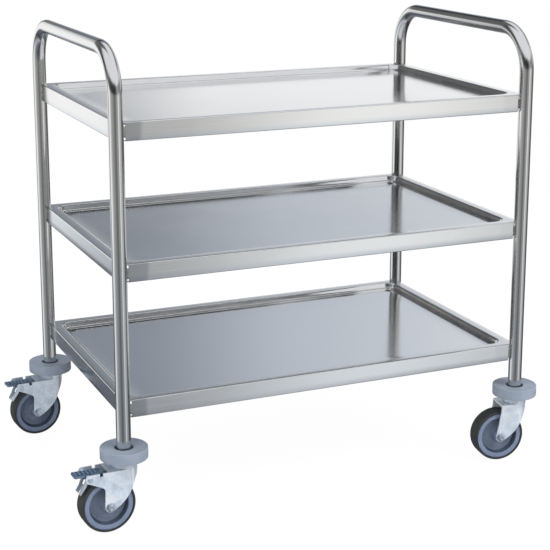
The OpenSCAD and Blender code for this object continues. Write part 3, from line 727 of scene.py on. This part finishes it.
hoop("left", -1)
hoop("right", 1)
for name, rim_z in RIM_Z.items():
    shelf(name, rim_z)
    weld_beads(name, rim_z)
for i, name in enumerate(CORNERS):
    swivel = "swivel_" + name
    bumper(i)
    wheel_centre(i)
    tyre(i)
    bolt_and_nut(i)
    softened("fork_" + name, "pressed_fork_" + name, 0.7, zinc_plate, swivel)
    softened("race_" + name, "head_" + name, 0.6, zinc_plate, "frame")
    softened("stem_" + name, "kingpin_" + name, 0.6, zinc_bolt, "frame")
for name in CORNERS[:2]:
    softened("brake_pin_" + name, "hinge_pin_" + name, 0.4, zinc_bolt, "swivel_" + name)
    softened("pedal_" + name, "foot_pedal_" + name, 0.45, pedal_plastic, "brake_" + name)
    softened("shoe_" + name, "brake_shoe_" + name, 0.35, zinc_bolt, "brake_" + name)

# The pieces inside the castors keep their CAD shapes
INSIDE = {"balls": ball_steel, "sleeve": zinc_bolt, "expander": expander_rubber}
for kind, material in INSIDE.items():
    for name in CORNERS:
        node = NODES[kind + "_" + name]
        node.data.materials.clear()
        node.data.materials.append(material)


# ---- Camera ----

FOCAL_PX, PICTURE_PX, SENSOR_MM, SHIFT_Y = 1454.0, 550.0, 36.0, -0.12
CAMERA_AT, YAW, PITCH = (-1.103, -2.543, 1.131), 0.408, 0.229
camera = bpy.data.objects.new("camera", bpy.data.cameras.new("camera"))
bpy.context.scene.collection.objects.link(camera)
camera.location = Vector(CAMERA_AT) + Vector(SHIFT * MM)
forward = Vector((math.sin(YAW) * math.cos(PITCH), math.cos(YAW) * math.cos(PITCH), -math.sin(PITCH)))
camera.rotation_mode = "QUATERNION"
camera.rotation_quaternion = forward.to_track_quat("-Z", "Y")
camera.data.sensor_width = SENSOR_MM
camera.data.lens = FOCAL_PX * SENSOR_MM / PICTURE_PX
camera.data.shift_y = SHIFT_Y
camera.data.clip_start, camera.data.clip_end = 0.05, 100.0
bpy.context.scene.camera = camera


# ---- Floor, world and lamps ----

FLOOR_R, FLOOR_DROP, FLOOR_SIDES = 2600.0, 0.4, 96


def studio_floor():
    """A pale round floor just under the wheels. The camera sees it near white, with the object's shadow left
    in its lit part. Polished metal sees through it to the studio."""
    a = np.linspace(0.0, 2 * math.pi, FLOOR_SIDES, endpoint=False)
    ring = np.stack([FLOOR_R * np.cos(a), FLOOR_R * np.sin(a), 0 * a - FLOOR_DROP], axis=1)
    mesh = bpy.data.meshes.new("studio_floor")
    mesh.from_pydata((ring * MM).tolist(), [], [list(range(FLOOR_SIDES))])
    obj = bpy.data.objects.new("studio_floor", mesh)
    bpy.context.scene.collection.objects.link(obj)
    material = bpy.data.materials.new("studio_floor")
    material.use_nodes = True
    n = Nodes(material.node_tree)
    path = n.add("LightPath").outputs
    lit = n.add("BsdfDiffuse", {"Color": (0.86, 0.86, 0.86, 1.0)}).outputs[0]
    white = n.add("Emission", {"Color": (1.0, 1.0, 1.0, 1.0), "Strength": 1.03}).outputs[0]
    clear = n.add("BsdfTransparent").outputs[0]
    seen = n.either(path["Is Camera Ray"], lit, n.either(0.93, lit, white))
    n.add("OutputMaterial", {0: n.either(path["Is Glossy Ray"], seen, clear)})
    mesh.materials.append(material)


def studio_world():
    """A white background for the camera, a soft sky for diffuse light, and for what metal mirrors a soft
    studio by direction. Below the horizon it has upright panels and gaps between them, by the angle round
    from the camera's side. Above the horizon a white backdrop stands behind the trolley, one panel stands at
    the left, and a grey room that is light overhead is over them."""
    world = bpy.data.worlds.new("studio")
    bpy.context.scene.world = world
    world.use_nodes = True
    n = Nodes(world.node_tree)
    where = n.add("TexCoord").outputs["Generated"]

    def towards(axis):
        return n.add("VectorMath", {0: where, 1: axis}, operation="DOT_PRODUCT").outputs["Value"]

    right = towards((math.cos(YAW), -math.sin(YAW), 0.0))
    near = towards((-math.sin(YAW), -math.cos(YAW), 0.0))
    height = towards((0.0, 0.0, 1.0))
    depth = n.math("MULTIPLY", height, -1.0)
    behind = n.math("MULTIPLY", near, -1.0)
    # 0 and 1 behind the trolley, 0.5 on the camera's side
    around = n.math("ADD", n.math("DIVIDE", n.math("ARCTAN2", right, near), 2 * math.pi), 0.5)

    def part_round(degrees):
        return degrees / 360.0 + 0.5

    def by_angle(stops):
        """A ramp round the room, with stops in degrees from the camera's side, rising to the camera's
        right."""
        return n.ramp(around, [(part_round(degrees), colour) for degrees, colour in stops])

    # Below the horizon
    low = by_angle([
        (-180, 0.50), (-162, 0.55), (-150, 1.20), (-131, 1.20), (-125, 0.60), (-118, 0.34), (-108, 0.55),
        (-96, 1.45), (-82, 1.20), (-70, 0.76), (-50, 0.48), (-30, 0.40), (-12, 0.26), (0, 0.18), (12, 0.30),
        (28, 0.50), (39, 0.42), (45, 0.82), (49, 1.36), (53, 1.30), (58, 0.72), (66, 0.68), (78, 0.72),
        (92, 0.34), (106, 0.12), (120, 0.14), (142, 0.14), (160, 0.36), (180, 0.50)])
    open_side = n.ramp(depth, [(0.13, (1.0, 1.0, 0.97)), (0.22, (0.95, 0.96, 0.95)),
                               (0.33, (0.76, 0.80, 0.85)), (0.60, (0.40, 0.42, 0.46))])
    left_side = n.ramp(depth, [(0.16, (1.0, 1.0, 0.99)), (0.22, (0.84, 0.88, 0.92)),
                               (0.30, (0.14, 0.15, 0.18)), (0.60, (0.10, 0.11, 0.14))])
    on_left = by_angle([(-176, 0.0), (-156, 1.0), (-124, 1.0), (-108, 0.0)])
    panels = n.blend("MULTIPLY", 1.0, low, n.blend("MIX", on_left, open_side, left_side))

    # Above the horizon
    high = by_angle([
        (-180, (0.50, 0.545, 0.61)), (-175, (0.27, 0.30, 0.345)), (-160, (0.19, 0.21, 0.24)), (-146, 0.14),
        (-136, 0.10), (-112, 0.08), (-98, 0.12), (-88, 0.80), (-66, 0.50), (-56, 0.16), (0, 0.10), (24, 0.20),
        (34, 1.10), (64, 1.10), (80, 0.80), (150, 0.80), (168, (0.80, 0.82, 0.85)),
        (175, (0.60, 0.645, 0.71)), (180, (0.50, 0.545, 0.61))])
    on_rear = n.ramp(behind, [(0.0, 0.0), (0.4, 1.0)])
    over_rear = n.ramp(height, [(0.24, 0.93), (0.30, 1.04), (0.36, 1.11), (0.42, 0.28), (0.47, 0.16),
                                (0.62, 0.22)])
    # On the camera's side the room is darker just over the horizon, which dims the posts' mirror images
    over_front = n.ramp(height, [(0.30, 0.35), (0.36, 1.0)])
    ceiling = n.blend("MULTIPLY", 1.0, high, n.blend("MIX", on_rear, over_front, over_rear))
    lifted = n.blend("MIX", on_rear, n.ramp(height, [(0.36, 0.0), (0.46, 1.0)]),
                     n.ramp(height, [(0.56, 0.0), (0.74, 1.0)]))
    ceiling = n.blend("MIX", lifted, ceiling, (1.0, 1.02, 1.05, 1.0))
    # The left panel stands on past the horizon, and its top edge slants down towards the camera's side
    slant = n.math("ADD", height, n.math("MULTIPLY", n.math("SUBTRACT", around, part_round(-141)), 2.8))
    panel_top = n.ramp(slant, [(0.18, 1.20), (0.24, 0.30), (0.30, 0.17), (0.45, 0.15)])
    beside = by_angle([(-157, 0.0), (-150, 1.0), (-124, 1.0), (-116, 0.0)])
    ceiling = n.blend("MIX", beside, ceiling, panel_top)
    room = n.blend("MIX", n.ramp(height, [(0.0, 0.0), (0.05, 1.0)]), panels, ceiling)

    # Soft light for all that isn't polished
    sky = n.ramp(n.math("ADD", n.math("MULTIPLY", height, 0.5), 0.5),
                 [(0.0, 0.10), (0.42, 0.16), (0.60, 0.50), (1.0, (0.84, 0.88, 0.94))])
    # Metal sees the white background where it lies behind the trolley, up to the backdrop's top edge
    backdrop = n.math("MULTIPLY", n.ramp(height, [(0.0, 0.0), (0.02, 1.0), (0.165, 1.0), (0.205, 0.0)]),
                      by_angle([(-177, 1.0), (-170, 0.0), (160, 0.0), (168, 1.0)]))
    path = n.add("LightPath").outputs
    straight = n.math("MAXIMUM", path["Is Camera Ray"], path["Is Transmission Ray"])
    plain = n.math("MAXIMUM", straight, n.math("MULTIPLY", path["Is Glossy Ray"], backdrop))
    studio, soft, white = (n.add("Background", {"Color": colour}).outputs[0]
                           for colour in (room, sky, (1.0, 1.0, 1.0, 1.0)))
    mirrored = n.either(path["Is Diffuse Ray"], studio, soft)
    n.add("OutputWorld", {"Surface": n.either(plain, mirrored, white)})


def lamp(name, place, power):
    """A soft square lamp at a place, turned to the trolley's middle. Polished metal mirrors the studio
    without it."""
    light = bpy.data.lights.new(name, "AREA")
    light.size = 2.4
    light.energy = power
    obj = bpy.data.objects.new(name, light)
    bpy.context.scene.collection.objects.link(obj)
    obj.location = place
    obj.rotation_euler = (Vector((0.0, 0.0, 0.4)) - Vector(place)).to_track_quat("-Z", "Y").to_euler()
    obj.visible_glossy = False


studio_floor()
studio_world()
lamp("key_lamp", (2.2, -2.6, 2.6), 100.0)
lamp("fill_lamp", (-2.6, -1.8, 2.2), 45.0)
lamp("back_lamp", (-0.4, 2.8, 2.6), 30.0)

bpy.context.scene.view_settings.view_transform = "Standard"
